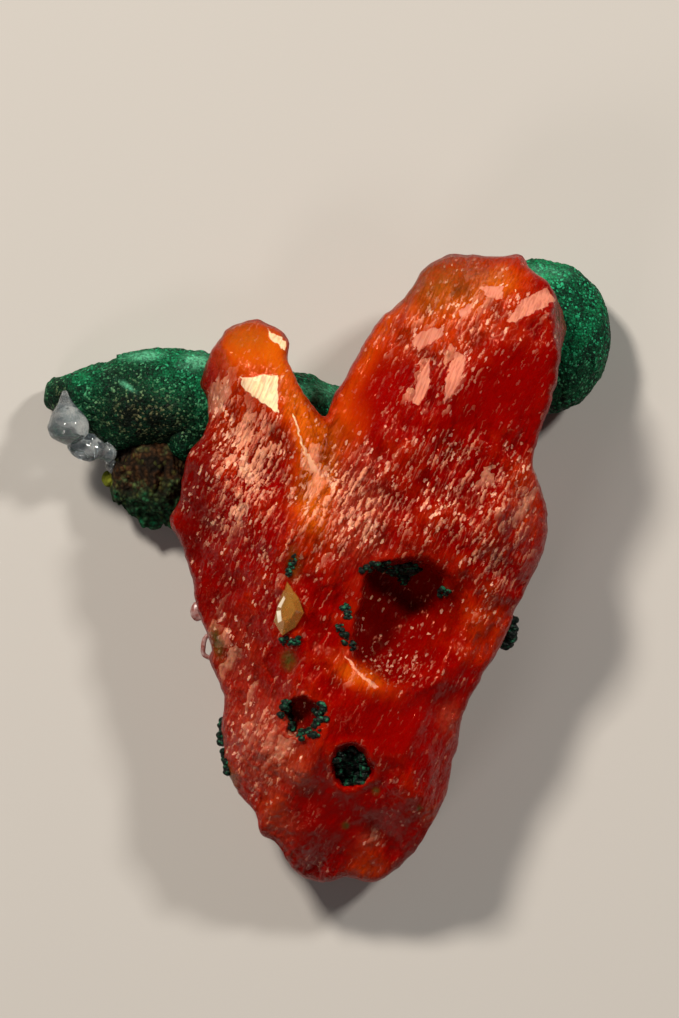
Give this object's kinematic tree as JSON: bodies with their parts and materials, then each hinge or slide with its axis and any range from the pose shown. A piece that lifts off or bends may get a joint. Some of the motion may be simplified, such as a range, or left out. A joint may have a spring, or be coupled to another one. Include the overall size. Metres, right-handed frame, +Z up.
{
  "type": "cuprite crystal specimen",
  "caption": "Red cuprite crystals grown together in a V, with green malachite behind and in the hollows, lying on its back.",
  "frame": {"origin": "under the middle of the specimen, on the surface that it lies on", "axes": "+X to the right across the specimen, +Y along it from the tip to the ends of the crystals, +Z up out of its front"},
  "size_m": [0.023, 0.0252, 0.0087],
  "materials": {
    "cuprite": "gloss",
    "malachite": "matte",
    "limonite": "matte",
    "chalcedony": "gloss",
    "amber_crystal": "gloss",
    "dark_crust": "matte"
  },
  "bodies": {
    "root": {"cuprite": "cuprite", "malachite_arm": "malachite", "malachite_nodule": "malachite", "limonite_lump": "limonite", "chalcedony_bead": "chalcedony", "amber_crystal": "amber_crystal", "cavity_crust_brow": "dark_crust", "cavity_crust_wall": "dark_crust", "cavity_crust_sill": "dark_crust", "cavity_crust_speck": "dark_crust", "pit_crust_left": "dark_crust", "pit_crust_right": "dark_crust", "pit_crust_cluster": "dark_crust", "seam_crust_upper": "dark_crust", "seam_crust_lower": "dark_crust", "left_crust_upper": "dark_crust", "left_crust_lower": "dark_crust", "right_crust": "dark_crust"}
  },
  "joints": []
}
